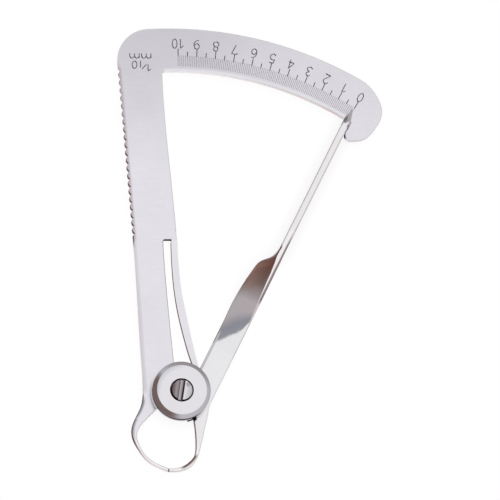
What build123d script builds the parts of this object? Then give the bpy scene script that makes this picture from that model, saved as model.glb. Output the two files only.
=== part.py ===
from build123d import *
import os
from math import atan2, cos, degrees, hypot, radians, sin, sqrt

# An outside caliper gauge: two bowed jaws, a lever arm and an arc scale ten millimetres long.
# Millimetres. The origin is the centre of the back collar's rear face, +Z comes out of the
# front, and +Y runs up the serrated leg to the scale. Angles are degrees to the right of +Y.

# Plate, collars and the gaps in the pivot
plate_thickness = 1.7
back_boss_height = 2.6
back_boss_radius = 5.8
front_boss_height = 3.5
front_boss_radius = 6.75
front_bevel_width = 0.9
front_bevel_height = 0.65
back_bevel = 0.4
run_gap = 0.05
edge_bevel = 0.3

# Pivot screw
shank_radius = 1.5
head_radius = 2.48
head_gap = 0.2
head_recess = 1.7
head_height = 1.5
head_crown = 0.25
slot_width = 1.0
slot_depth = 0.9
slot_turn = 4.0
fixed_bore_gap = 0.02
pivot_bore_gap = 0.05
shank_end_gap = 0.15
back_floor = 0.7
recess_bevel = 0.2

# How far a cutter runs on past what it cuts
cutter_spare = 1.0

# Lapped eyes of the plate and the arm, under the front collar
eye_radius = 5.2
eye_gap = 0.15
eye_lap_gap = 0.05

# Scale arc and its end lobe. The outer edge rises a little towards the leg
arc_inner_radius = 76.1
arc_outer_radius = 86.2
arc_rise = 0.35
arc_corner_radius = 7.5
lobe_start = 29.2
lobe_corner_radius = 1.3
lobe_side = [(45.8, 72.2), (47.9, 67.2), (46.1, 62.9), (43.2, 60.4)]
lobe_foot = (40.6, 60.1)
lobe_foot_run = (1, -0.1)
leg_corner_radius = 0.6

# Serrated leg
leg_top_side = -9.62
grip_lean = 4.41
grip_foot = 1.0
leg_left = [(-9.8, 22.5), (-9.15, 9.9), (-8.7, 0.4)]
leg_top_right = (-3.52, 76.0)
leg_right = [(-2.54, 59.65), (-1.5, 48.6)]
tooth_count = 21
tooth_pitch = 1.85
tooth_depth = 0.55
first_tooth = 8.75

# Long slot between the leg and the spring
slot_left = [(-1.25, 5.1), (-1.5, 7.7), (-2.4, 17.5), (-3.14, 26.5), (-3.7, 36.1)]
slot_corner_radius = 0.5

# Spring tongue
spring_root = (-1.1, 35.4)
spring_root_radius = 0.7
spring_root_gap = 0.05
spring_root_lip = 0.35
spring_bend_run = (0.42, -1)
spring_left = [(-1.56, 28.3), (-0.84, 21.6), (0.25, 16.0), (1.35, 11.6), (2.9, 6.7)]
spring_right = [(4.3, 5.85), (2.6, 13.2), (1.4, 19.1), (0.43, 24.2), (-0.05, 28.8)]

# Fixed jaw
jaw_tip_x = -2.92
jaw_tip_gap = 0.08
fixed_outer = [(-9.0, -2.6), (-10.26, -5.5), (-11.35, -8.3), (-11.3, -10.4), (-10.1, -13.1),
               (-8.05, -15.9), (-5.15, -17.7)]
jaw_tip_y = (-18.52, -17.85)
fixed_tip_run = (1, -0.3)
fixed_inner = [(-5.0, -17.0), (-6.7, -16.1), (-8.6, -14.3), (-9.65, -12.4), (-10.2, -10.2),
               (-9.75, -8.6), (-8.35, -6.7), (-6.48, -4.78), (-4.6, -2.9)]

# Moving jaw
moving_outer = [(6.45, -4.66), (5.8, -7.5), (5.15, -10.4), (4.45, -13.3), (3.4, -16.1),
                (2.2, -17.45), (0.46, -18.25), (-1.4, -18.55)]
moving_inner = [(-1.1, -17.75), (0.8, -17.1), (2.05, -16.15), (3.0, -15.0), (3.45, -12.8),
                (3.45, -10.7), (3.3, -8.6), (3.05, -6.3)]
arm_hub_radius = 6.85
arm_hub_side = 166.0

# Lever arm, in its own line: along is up the arm, across is to the right of the pivot
arm_angle = 26.55
strip_foot = 2.0
strip_left = 1.5
strip_right = 7.35
blade_right = 7.2
twist_start = 20.5
twist_length = 21.0
twist_sections = 12
slow_share = 0.7
quick_from = 0.71
quick_to = 0.95

# Pointer end of the arm: reaches over the arc and leads before it, from its inner edge
pointer_reach = 2.8
back_prong_reach = 2.1
slit_lead = 0.6
nose_lead = 1.5
slit_gap = 0.15
nose_point = 0.25
stop_gap = 0.06

plate_low = back_boss_height
plate_high = plate_low + plate_thickness
plate_middle = plate_low + plate_thickness / 2
loose_low = plate_low + run_gap
loose_high = plate_high - run_gap
loose_thickness = loose_high - loose_low
strip_width = strip_right - strip_left
fixed_bore = shank_radius + fixed_bore_gap
pivot_bore = shank_radius + pivot_bore_gap
last_tooth = first_tooth + tooth_count * tooth_pitch
grip_length = last_tooth + tooth_depth + grip_foot
pointer_radius = arc_inner_radius + pointer_reach
back_prong_radius = arc_inner_radius + back_prong_reach
slit_radius = arc_inner_radius - slit_lead
nose_start = arc_inner_radius - nose_lead


def on_circle(radius, angle):
    """A point at a radius from the pivot and an angle to the right of +Y."""
    return (radius * sin(radians(angle)), radius * cos(radians(angle)))


def on_arm(along, across):
    """A point in the arm's own line, in the plane of the plate."""
    turn = radians(arm_angle)
    return (along * sin(turn) + across * cos(turn), along * cos(turn) - across * sin(turn))


def along_at(radius, across):
    """How far up the arm its line meets a circle about the pivot."""
    return sqrt(radius ** 2 - across ** 2)


def slab(face, low, high):
    """A flat face in the plane of the plate, made solid between two heights."""
    return Pos(0, 0, low) * extrude(face, high - low, dir=(0, 0, 1))


def distance_to_line(point, start, end):
    """The distance in the plane of the plate from a point to a straight piece of line."""
    run_x, run_y = end[0] - start[0], end[1] - start[1]
    length_squared = run_x ** 2 + run_y ** 2
    share = 0
    if length_squared > 0:
        share = ((point.X - start[0]) * run_x + (point.Y - start[1]) * run_y) / length_squared
    share = min(max(share, 0), 1)
    return hypot(point.X - start[0] - share * run_x, point.Y - start[1] - share * run_y)


def bevelled_slab(face, low, high, plain):
    """A slab with its front and back edges broken, except those centred in a plain stretch."""
    body = slab(face, low, high)
    edges = []
    for edge in body.edges():
        middle = edge.position_at(0.5)
        clear = all(distance_to_line(middle, start, end) > reach for start, end, reach in plain)
        if clear and edge.bounding_box().size.Z < run_gap:
            edges.append(edge)
    return chamfer(edges, edge_bevel)


def ring_cut(radius, low, high):
    """A round cutter about the pivot axis."""
    return Pos(0, 0, low) * Cylinder(radius, high - low, align=(Align.CENTER, Align.CENTER, Align.MIN))


def round_corner(face, point, radius):
    """Rounds the one corner of a face that lies nearest to a point."""
    corner = min(face.vertices(), key=lambda v: hypot(v.X - point[0], v.Y - point[1]))
    return fillet(corner, radius)


def on_grip(distance, depth):
    """A point down the serrated edge from the top of the leg, and a depth into the plate."""
    x, y = on_circle(arc_outer_radius, leg_top_side)
    lean = radians(grip_lean)
    return (x + distance * sin(lean) + depth * cos(lean), y - distance * cos(lean) + depth * sin(lean))


def tooth_edge():
    """The serrated grip: round teeth with sharp notches, down the straight edge of the leg."""
    edges = [Line(on_grip(-arc_rise, 0), on_grip(first_tooth - tooth_depth, 0)),
             Line(on_grip(first_tooth - tooth_depth, 0), on_grip(first_tooth, tooth_depth))]
    for tooth in range(tooth_count):
        high = first_tooth + tooth * tooth_pitch
        low = high + tooth_pitch
        edges.append(ThreePointArc(on_grip(high, tooth_depth), on_grip((high + low) / 2, 0),
                                   on_grip(low, tooth_depth)))
    foot = on_grip(grip_length - grip_foot, 0)
    edges += [Line(on_grip(last_tooth, tooth_depth), foot), Line(foot, on_grip(grip_length, 0))]
    return edges


def spring_seat():
    """The hollow in the plate that the round root of the spring turns in, left to right."""
    radius = spring_root_radius + spring_root_gap
    half = sqrt(radius ** 2 - spring_root_lip ** 2)
    x, y = spring_root
    left = (x - half, y + spring_root_lip)
    right = (x + half, y + spring_root_lip)
    return left, right, ThreePointArc(left, (x, y + radius), right)


def frame_face():
    """The plate's outline: arc, lobe, serrated leg, fixed jaw, slot and the way back up."""
    fixed_tip_x = jaw_tip_x - jaw_tip_gap / 2
    out_start = on_circle(arc_outer_radius, lobe_start)
    out_end = on_grip(-arc_rise, 0)
    in_start = on_circle(arc_inner_radius, degrees(atan2(leg_top_right[0], leg_top_right[1])))
    along_arc = (-cos(radians(lobe_start)), sin(radians(lobe_start)))
    down_grip = (sin(radians(grip_lean)), -cos(radians(grip_lean)))
    lobe_line = blade_right + stop_gap
    in_end = on_arm(along_at(arc_inner_radius, lobe_line), lobe_line)
    in_middle = on_circle(arc_inner_radius, lobe_start / 2)
    lobe_corner = on_arm(along_at(hypot(*lobe_foot), lobe_line) - lobe_corner_radius, lobe_line)
    seat_left, seat_right, seat = spring_seat()
    slot_end = slot_left[-1]
    lip_left = (seat_left[0], slot_end[1])
    edges = [
        TangentArc(out_start, out_end, tangent=along_arc),
        *tooth_edge(),
        Spline(on_grip(grip_length, 0), *leg_left, *fixed_outer, (fixed_tip_x, jaw_tip_y[0]),
               tangents=[down_grip, fixed_tip_run]),
        Line((fixed_tip_x, jaw_tip_y[0]), (fixed_tip_x, jaw_tip_y[1])),
        Spline((fixed_tip_x, jaw_tip_y[1]), *fixed_inner),
        Line(fixed_inner[-1], (0, 0)),
        Line((0, 0), slot_left[0]),
        Spline(*slot_left),
        Line(slot_end, lip_left),
        Line(lip_left, seat_left),
        seat,
        Spline(seat_right, *reversed(leg_right), in_start),
        ThreePointArc(in_start, in_middle, in_end),
        Line(in_end, lobe_corner),
        Spline(lobe_corner, lobe_foot, *reversed(lobe_side), out_start,
               tangents=[lobe_foot_run, along_arc]),
    ]
    face = make_face(edges)
    face = round_corner(face, out_end, arc_corner_radius)
    face = round_corner(face, in_start, leg_corner_radius)
    face = round_corner(face, lobe_corner, lobe_corner_radius)
    return round_corner(face, slot_end, slot_corner_radius)


def scale_frame():
    """The stamped plate, halved at its eye so that the arm's eye laps over it."""
    lap = plate_middle - eye_lap_gap / 2
    tip = (jaw_tip_x - jaw_tip_gap / 2, sum(jaw_tip_y) / 2)
    seat = (spring_root[0], spring_root[1] + spring_root_radius)
    plain = [((0, 0), (0, 0), eye_radius), (tip, tip, edge_bevel),
             (seat, seat, spring_root_radius + spring_root_gap),
             (on_grip(0, 0), on_grip(last_tooth, 0), tooth_depth)]
    body = bevelled_slab(frame_face(), plate_low, plate_high, plain)
    body -= ring_cut(eye_radius + eye_gap, lap, plate_high)
    body += ring_cut(eye_radius, plate_low, lap)
    return body - ring_cut(fixed_bore, plate_low, plate_high)


def spring_tongue():
    """The leaf spring beside the leg, with a round root and its free end by the pivot."""
    x, y = spring_root
    left = (x - spring_root_radius, y)
    right = (x + spring_root_radius, y)
    edges = [
        ThreePointArc(right, (x, y + spring_root_radius), left),
        Spline(left, *spring_left, tangents=[(0, -1), spring_bend_run]),
        Line(spring_left[-1], spring_right[0]),
        Spline(*spring_right, right),
    ]
    return slab(make_face(edges), loose_low, loose_high)


def arm_face():
    """The arm's flat outline: the straight strip, the hub and the moving jaw."""
    tip_x = jaw_tip_x + jaw_tip_gap / 2
    strip_top_left = on_arm(twist_start, strip_left)
    strip_top_right = on_arm(twist_start, strip_right)
    shoulder = on_arm(strip_foot, strip_right)
    strip_end = on_arm(0, strip_left)
    hub_left = on_circle(arm_hub_radius, arm_hub_side)
    hub_right = on_circle(arm_hub_radius, degrees(atan2(*moving_inner[-1])))
    hub_middle = on_circle(arm_hub_radius, (arm_hub_side + degrees(atan2(*moving_inner[-1]))) / 2)
    turn = radians(arm_angle)
    edges = [
        Line(strip_top_right, strip_top_left),
        Line(strip_top_left, strip_end),
        Line(strip_end, (0, 0)),
        Line((0, 0), hub_left),
        ThreePointArc(hub_left, hub_middle, hub_right),
        Spline(hub_right, *reversed(moving_inner[:-1]), (tip_x, jaw_tip_y[1])),
        Line((tip_x, jaw_tip_y[1]), (tip_x, jaw_tip_y[0])),
        Spline((tip_x, jaw_tip_y[0]), *reversed(moving_outer), shoulder,
               tangents=[(1, 0), (sin(turn), cos(turn))]),
        Line(shoulder, strip_top_right),
    ]
    return make_face(edges)


def twist_share(part):
    """The share of the quarter turn made by a part of the twist: slow at first, then quick."""
    quick = min(max((part - quick_from) / (quick_to - quick_from), 0), 1)
    return slow_share * part + (1 - slow_share) * quick * quick * (3 - 2 * quick)


def twist_section(part):
    """The strip's section at a part of the twist. Its right outline stays straight."""
    share = twist_share(part)
    turn = radians(90 * share)
    lean = radians(arm_angle)
    wide = (strip_width / 2 - edge_bevel) * cos(turn) + loose_thickness / 2 * sin(turn)
    tall = strip_width / 2 * cos(turn) + (loose_thickness / 2 - edge_bevel) * sin(turn)
    edge = strip_right + (blade_right - strip_right) * share
    centre = edge - max(wide, tall)
    side = (cos(turn) * cos(lean), -cos(turn) * sin(lean), sin(turn))
    plane = Plane(origin=(*on_arm(twist_start + part * twist_length, centre), plate_middle),
                  x_dir=side, z_dir=(sin(lean), cos(lean), 0))
    section = Rectangle(strip_width, loose_thickness)
    return plane * chamfer(section.vertices(), edge_bevel)


def twisted_strip():
    """The quarter turn that sets the flat strip on edge."""
    return loft([twist_section(i / twist_sections) for i in range(twist_sections + 1)])


def pointer_blade():
    """The blade on edge, with the slit that straddles the scale and the pointed front prong."""
    middle = blade_right - loose_thickness / 2
    start = twist_start + twist_length
    end = along_at(pointer_radius, middle)
    nose = along_at(nose_start, middle)
    back_end = along_at(back_prong_radius, middle)
    front = plate_middle + strip_width / 2
    back = plate_middle - strip_width / 2
    tip_high = plate_high + slit_gap + nose_point
    side = make_face(Polyline(
        (start, back), (back_end, back), (back_end, plate_middle), (end, plate_middle),
        (end, tip_high), (nose, front), (start, front), close=True))
    turn = radians(arm_angle)
    wall = Plane(origin=(*on_arm(0, blade_right - loose_thickness), 0),
                 x_dir=(sin(turn), cos(turn), 0), z_dir=(cos(turn), -sin(turn), 0))
    blade = extrude(twist_section(1), end - start) & extrude(wall * side, loose_thickness)
    taper_start = along_at(arc_inner_radius, middle)
    low = plate_low - slit_gap
    high = plate_high + slit_gap
    half_t = loose_thickness / 2
    outside = half_t + cutter_spare
    beyond = end + cutter_spare
    slit_start = along_at(slit_radius, middle)
    slit = make_face(Polyline(
        on_arm(slit_start, middle - outside), on_arm(beyond, middle - outside),
        on_arm(beyond, middle + outside), on_arm(slit_start, middle + outside), close=True))
    blade -= slab(slit, low, high)
    for hand in (-1, 1):
        wedge = make_face(Polyline(
            on_arm(taper_start, middle + hand * half_t), on_arm(end, middle + hand * nose_point / 2),
            on_arm(beyond, middle + hand * nose_point / 2), on_arm(beyond, middle + hand * outside),
            on_arm(taper_start, middle + hand * outside), close=True))
        blade -= slab(wedge, high - run_gap, front + cutter_spare)
    return blade


def pointer_arm():
    """The moving jaw, its eye, the twisted lever and the pointer, all one forging."""
    lap = plate_middle + eye_lap_gap / 2
    tip = (jaw_tip_x + jaw_tip_gap / 2, sum(jaw_tip_y) / 2)
    strip_end = on_arm(twist_start, (strip_left + strip_right) / 2)
    plain = [((0, 0), (0, 0), eye_radius), (tip, tip, edge_bevel), (strip_end, strip_end, edge_bevel)]
    body = bevelled_slab(arm_face(), loose_low, loose_high, plain)
    body -= ring_cut(eye_radius + eye_gap, plate_low, lap)
    body += ring_cut(eye_radius, lap, loose_high)
    body += twisted_strip()
    body += pointer_blade()
    return body - ring_cut(pivot_bore, plate_low, plate_high)


def front_boss():
    """The bevelled collar on the front, counterbored for the screw head."""
    top = plate_high + front_boss_height
    head_bore = head_radius + head_gap
    outline = make_face(Polyline(
        (fixed_bore, plate_high), (front_boss_radius, plate_high),
        (front_boss_radius, top - front_bevel_height), (front_boss_radius - front_bevel_width, top),
        (head_bore + recess_bevel, top), (head_bore, top - recess_bevel),
        (head_bore, top - head_recess), (fixed_bore, top - head_recess), close=True))
    return revolve(Plane.XZ * outline, Axis.Z)


def back_boss():
    """The round collar on the back, with a blind hole for the end of the screw."""
    outline = make_face(Polyline(
        (0, 0), (back_boss_radius - back_bevel, 0), (back_boss_radius, back_bevel),
        (back_boss_radius, plate_low), (fixed_bore, plate_low), (fixed_bore, back_floor),
        (0, back_floor), close=True))
    return revolve(Plane.XZ * outline, Axis.Z)


def pivot_screw():
    """The slotted screw with a slightly crowned head and a plain shank."""
    seat = plate_high + front_boss_height - head_recess
    rim = seat + head_height
    foot = back_floor + shank_end_gap
    profile = [
        Line((0, foot), (shank_radius, foot)),
        Line((shank_radius, foot), (shank_radius, seat)),
        Line((shank_radius, seat), (head_radius, seat)),
        Line((head_radius, seat), (head_radius, rim)),
        TangentArc((0, rim + head_crown), (head_radius, rim), tangent=(1, 0)),
        Line((0, rim + head_crown), (0, foot)),
    ]
    screw = revolve(Plane.XZ * make_face(profile), Axis.Z)
    slot = Box(slot_width, 2 * (head_radius + cutter_spare), slot_depth + head_crown + cutter_spare,
               align=(Align.CENTER, Align.CENTER, Align.MIN))
    return screw - Rot(0, 0, slot_turn) * Pos(0, 0, rim - slot_depth) * slot


nodes = {
    "scale_frame": scale_frame,
    "spring_tongue": spring_tongue,
    "pointer_arm": pointer_arm,
    "front_boss": front_boss,
    "back_boss": back_boss,
    "pivot_screw": pivot_screw,
}

os.makedirs("parts", exist_ok=True)
for name, make in nodes.items():
    export_step(make(), f"parts/{name}.step")
    print(name, "written")
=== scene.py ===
from math import cos, pi, radians, sin
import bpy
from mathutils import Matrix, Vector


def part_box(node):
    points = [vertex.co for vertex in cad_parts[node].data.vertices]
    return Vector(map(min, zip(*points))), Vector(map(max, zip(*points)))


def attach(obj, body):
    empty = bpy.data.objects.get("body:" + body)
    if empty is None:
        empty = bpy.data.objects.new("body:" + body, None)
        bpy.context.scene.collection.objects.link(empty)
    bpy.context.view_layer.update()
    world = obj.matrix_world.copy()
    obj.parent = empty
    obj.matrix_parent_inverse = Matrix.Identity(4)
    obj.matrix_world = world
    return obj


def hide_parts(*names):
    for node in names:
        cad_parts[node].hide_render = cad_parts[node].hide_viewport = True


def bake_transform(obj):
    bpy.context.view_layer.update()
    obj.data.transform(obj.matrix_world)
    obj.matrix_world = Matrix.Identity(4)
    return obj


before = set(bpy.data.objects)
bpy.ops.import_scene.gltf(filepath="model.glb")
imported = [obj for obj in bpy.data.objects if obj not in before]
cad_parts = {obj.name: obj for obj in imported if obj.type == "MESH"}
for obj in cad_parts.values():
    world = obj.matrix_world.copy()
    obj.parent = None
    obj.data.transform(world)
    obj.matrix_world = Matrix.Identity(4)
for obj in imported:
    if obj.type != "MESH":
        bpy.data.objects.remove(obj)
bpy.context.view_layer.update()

from types import SimpleNamespace

import bmesh
import bpy
from mathutils import Matrix, Vector

mm = 0.001
pivot = Vector((0, 0, 0))
plateLow, plateHigh = (corner.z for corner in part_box("scale_frame"))
print("frame loaded:", ", ".join(sorted(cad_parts)))


# Node helpers

def shade(red, green, blue):
    # a colour as it is seen, 0 to 255, made linear
    return tuple((v / 255 / 12.92 if v < 10.3 else ((v / 255 + 0.055) / 1.055) ** 2.4)
                 for v in (red, green, blue)) + (1,)


def addNode(tree, kind, **settings):
    node = tree.nodes.new(kind)
    for key, value in settings.items():
        setattr(node, key, value)
    return node


def feed(tree, socket, value):
    # links another node's socket, or sets a plain number or colour
    if isinstance(value, bpy.types.NodeSocket):
        tree.links.new(value, socket)
    else:
        socket.default_value = value


def feedAll(tree, node, values):
    for socket, value in zip(node.inputs, values):
        feed(tree, socket, value)
    return node.outputs


def calc(tree, operation, *values):
    return feedAll(tree, addNode(tree, "ShaderNodeMath", operation=operation), values)[0]


def minus(tree, first, second):
    return calc(tree, "SUBTRACT", first, second)


def times(tree, first, *others):
    for other in others:
        first = calc(tree, "MULTIPLY", first, other)
    return first


def opposite(tree, value):
    return minus(tree, 1.0, value)


def vectorCalc(tree, operation, *values):
    return feedAll(tree, addNode(tree, "ShaderNodeVectorMath", operation=operation), values)["Vector"]


def dot(tree, vector, axis):
    node = addNode(tree, "ShaderNodeVectorMath", operation="DOT_PRODUCT")
    return feedAll(tree, node, (vector, axis))["Value"]


def lengthOf(tree, vector):
    return feedAll(tree, addNode(tree, "ShaderNodeVectorMath", operation="LENGTH"), (vector,))["Value"]


def fade(tree, value, low, high):
    # 0 below low, 1 above high, and a smooth step between; the other way round when low is more
    node = addNode(tree, "ShaderNodeMapRange", interpolation_type="SMOOTHSTEP")
    return feedAll(tree, node, (value, low, high))["Result"]


def stretch(tree, value, low, high, start, end):
    # start below low, end above high, and straight between
    return feedAll(tree, addNode(tree, "ShaderNodeMapRange"), (value, low, high, start, end))["Result"]


def between(tree, value, low, high, soft):
    # 1 from low to high, with soft ends
    return times(tree, fade(tree, value, low - soft / 2, low + soft / 2),
                 fade(tree, value, high + soft / 2, high - soft / 2))


def mixColours(tree, share, first, second, blend="MIX"):
    node = addNode(tree, "ShaderNodeMix", data_type="RGBA", blend_type=blend)
    feed(tree, node.inputs[0], share)
    feed(tree, node.inputs[6], first)
    feed(tree, node.inputs[7], second)
    return node.outputs[2]


def noise(tree, vector, scale, detail=2.0):
    node = addNode(tree, "ShaderNodeTexNoise")
    feed(tree, node.inputs["Vector"], vector)
    feed(tree, node.inputs["Scale"], scale)
    feed(tree, node.inputs["Detail"], detail)
    return node.outputs["Fac"]


def toneRamp(tree, value, tones):
    # a colour for each place along value, given in mm
    low, high = tones[0][0], tones[-1][0]
    share = addNode(tree, "ShaderNodeMapRange")
    feedAll(tree, share, (value, low * mm, high * mm))
    ramp = addNode(tree, "ShaderNodeValToRGB")
    stops = ramp.color_ramp.elements
    stops[0].color, stops[1].color = tones[0][1], tones[-1][1]
    for position, colour in tones[1:-1]:
        stops.new((position - low) / (high - low)).color = colour
    feed(tree, ramp.inputs["Fac"], share.outputs["Result"])
    return ramp.outputs["Color"]


def newGroup(name, inputs, outputs):
    group = bpy.data.node_groups.new(name, "ShaderNodeTree")
    for label, kind in inputs:
        group.interface.new_socket(label, in_out="INPUT", socket_type=kind)
    for label, kind in outputs:
        group.interface.new_socket(label, in_out="OUTPUT", socket_type=kind)
    return group, addNode(group, "NodeGroupInput").outputs, addNode(group, "NodeGroupOutput").inputs


def useGroup(tree, group, **values):
    node = addNode(tree, "ShaderNodeGroup", node_tree=group)
    for label, value in values.items():
        feed(tree, node.inputs[label], value)
    return node.outputs


def newMaterial(name):
    material = bpy.data.materials.new(name)
    material.use_nodes = True
    tree = material.node_tree
    return material, tree, tree.nodes["Principled BSDF"]


# Effects that several finishes share

grain = {
    "streakAcross": 4200.0, "streakAlong": 220.0,      # streaks a metre, across and along the brushing
    "mottle": 160.0, "speckle": 2600.0, "rings": 9000.0,
    "streakDetail": 3.0, "mottleDetail": 4.0, "speckleDetail": 1.0, "ringDetail": 2.0,
    "relief": 0.01 * mm,
}
facings = {
    "flat": (0.86, 0.985), "eased": (0.35, 0.6),       # how far a normal points up or down
    "leftHand": (-0.93, -0.37, 0), "left": (0.35, 0.75),
}


def makeGrainGroup():
    # brushed streaks, cloudy patches and fine speckle; Tone is a factor about 1
    group, given, out = newGroup(
        "steelGrain",
        [("Vector", "NodeSocketVector"), ("Streak", "NodeSocketFloat"),
         ("Mottle", "NodeSocketFloat"), ("Speckle", "NodeSocketFloat")],
        [("Tone", "NodeSocketFloat"), ("Smudge", "NodeSocketFloat"), ("Height", "NodeSocketFloat")])
    drawn = addNode(group, "ShaderNodeMapping")
    along = grain["streakAlong"]
    drawn.inputs["Scale"].default_value = (grain["streakAcross"], along, along)
    feed(group, drawn.inputs["Vector"], given["Vector"])
    streak = noise(group, drawn.outputs["Vector"], 1.0, grain["streakDetail"])
    mottle = noise(group, given["Vector"], grain["mottle"], grain["mottleDetail"])
    speckle = noise(group, given["Vector"], grain["speckle"], grain["speckleDetail"])
    tone = 1.0
    for pattern, strength in ((streak, "Streak"), (mottle, "Mottle"), (speckle, "Speckle")):
        swing = minus(group, pattern, 0.5)
        tone = calc(group, "MULTIPLY_ADD", swing, given[strength], tone)
    feed(group, out["Tone"], tone)
    feed(group, out["Smudge"], mottle)
    feed(group, out["Height"], streak)
    return group


def facing(tree, normal):
    # masks of flat faces, of eased edges among the rest, and of what turns left
    upright = calc(tree, "ABSOLUTE", dot(tree, normal, (0, 0, 1)))
    heading = vectorCalc(tree, "NORMALIZE", vectorCalc(tree, "MULTIPLY", normal, (1, 1, 0)))
    leftward = fade(tree, dot(tree, heading, facings["leftHand"]), *facings["left"])
    return fade(tree, upright, *facings["flat"]), fade(tree, upright, *facings["eased"]), leftward


def makeSideGroup():
    # the colour of a flat face, of an eased edge and of a wall; edges that turn left have their own, a
    # painted shade
    group, given, out = newGroup(
        "sideTone",
        [("Face", "NodeSocketColor"), ("Edge", "NodeSocketColor"), ("EdgeLeft", "NodeSocketColor"),
         ("Wall", "NodeSocketColor")],
        [("Colour", "NodeSocketColor")])
    flat, eased, leftward = facing(group, addNode(group, "ShaderNodeTexCoord").outputs["Normal"])
    edge = mixColours(group, leftward, given["Edge"], given["EdgeLeft"])
    around = mixColours(group, eased, given["Wall"], edge)
    feed(group, out["Colour"], mixColours(group, flat, around, given["Face"]))
    return group


def makeRingGroup():
    # fine lathe rings about the pivot
    group, given, out = newGroup(
        "latheRings", [("Vector", "NodeSocketVector"), ("Strength", "NodeSocketFloat")],
        [("Tone", "NodeSocketFloat"), ("Height", "NodeSocketFloat")])
    flat = vectorCalc(group, "MULTIPLY", given["Vector"], (1, 1, 0))
    radius = addNode(group, "ShaderNodeCombineXYZ")
    feed(group, radius.inputs["X"], lengthOf(group, flat))
    ring = noise(group, radius.outputs["Vector"], grain["rings"], grain["ringDetail"])
    swing = minus(group, ring, 0.5)
    feed(group, out["Tone"], calc(group, "MULTIPLY_ADD", swing, given["Strength"], 1.0))
    feed(group, out["Height"], ring)
    return group


grainGroup = makeGrainGroup()
sideGroup = makeSideGroup()
ringGroup = makeRingGroup()
print("shared effects built")


# Steel finishes. Two lengths are where a tone starts and where it is full. Three are where it
# starts, where it ends and how soft its ends are. Four values are a straight change: its first
# and last place, and the amount at each. After a direction come two shares of facing it.

lowGain = 1.5      # makes up for what a low angle takes away


def newSteel(name, finish):
    # a brushed and plated steel, with what a finish of its own still changes: the pair is its
    # colour and what its edges and walls show at a low angle
    material, tree, shader = newMaterial(name)
    shader.inputs["Metallic"].default_value = 1.0
    place = addNode(tree, "ShaderNodeTexCoord").outputs
    turn = addNode(tree, "ShaderNodeMapping")
    turn.inputs["Rotation"].default_value = (0, 0, radians(finish["brushAngle"]))
    feed(tree, turn.inputs["Vector"], place["Object"])
    pattern = useGroup(tree, grainGroup, Vector=turn.outputs["Vector"], Streak=finish["streak"],
                       Mottle=finish["mottle"], Speckle=finish["speckle"])
    sides = useGroup(tree, sideGroup, Face=finish["face"], Edge=finish["edge"],
                     EdgeLeft=finish["edgeLeft"], Wall=finish["wall"])
    flat, _, leftward = facing(tree, place["Normal"])
    rough = calc(tree, "MULTIPLY_ADD", pattern["Smudge"], finish["roughSwing"], finish["rough"])
    feed(tree, shader.inputs["Roughness"], rough)
    bump = addNode(tree, "ShaderNodeBump")
    bump.inputs["Strength"].default_value = finish["bump"]
    bump.inputs["Distance"].default_value = grain["relief"]
    feed(tree, bump.inputs["Height"], pattern["Height"])
    feed(tree, shader.inputs["Normal"], bump.outputs["Normal"])
    # the low-angle tint of edges and walls is their edge colour, a painted shade where it is darker on edges
    # that turn left
    edge = mixColours(tree, leftward, finish["edge"], finish["edgeLeft"])
    pair = (sides["Colour"], mixColours(tree, flat, edge, (1, 1, 1, 1)))
    return SimpleNamespace(
        material=material, tree=tree, shader=shader, bump=bump, tone=pattern["Tone"], pair=pair,
        spot=place["Object"], normal=place["Normal"], flat=flat, leftward=leftward)


def paint(steel, colour, low):
    # the last step of each finish: its colour times the grain, and the tint of a low angle
    tree = steel.tree
    spread = addNode(tree, "ShaderNodeCombineColor")
    feedAll(tree, spread, [steel.tone] * 3)
    grained = mixColours(tree, 1.0, colour, spread.outputs["Color"], "MULTIPLY")
    feed(tree, steel.shader.inputs["Base Color"], grained)
    gained = vectorCalc(tree, "MULTIPLY", low, [lowGain] * 3)
    feed(tree, steel.shader.inputs["Specular Tint"], vectorCalc(tree, "MINIMUM", gained, (1, 1, 1)))
    return steel.material


def both(tree, share, pair, tone):
    # mixes one tone into the colour and into the low-angle tint
    return tuple(mixColours(tree, share, part, tone) for part in pair)


def fromPoint(steel, centre=pivot):
    # distance from an upright line through centre
    return lengthOf(steel.tree, vectorCalc(steel.tree, "MULTIPLY_ADD", steel.spot, (1, 1, 0), -centre))


def turnedTo(steel, direction, low, high):
    # how far the surface faces a direction
    return fade(steel.tree, dot(steel.tree, steel.normal, direction), low, high)


armLean = radians(26.55)
armAlong = (sin(armLean), cos(armLean), 0)
armAcross = (cos(armLean), -sin(armLean), 0)
# a painted shade in the narrow gap where the jaw tips meet
jawSeamShade = {
    "top": Vector((-2.92, -17, 0)) * mm, "start": (0.0, -0.1 * mm),
    "reach": (0.16 * mm, 0.1 * mm),    # to each side
    "colour": shade(58, 54, 60),
}


def seamMask(tree, right, height, side):
    # painted shade along the line where the jaw tips meet, on the plate's side (-1) or the arm's (1)
    across = fade(tree, right, *(jawSeamShade["top"].x + side * reach for reach in jawSeamShade["reach"]))
    return times(tree, across, fade(tree, height, *(jawSeamShade["top"].y + step for step in jawSeamShade["start"])))


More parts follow.
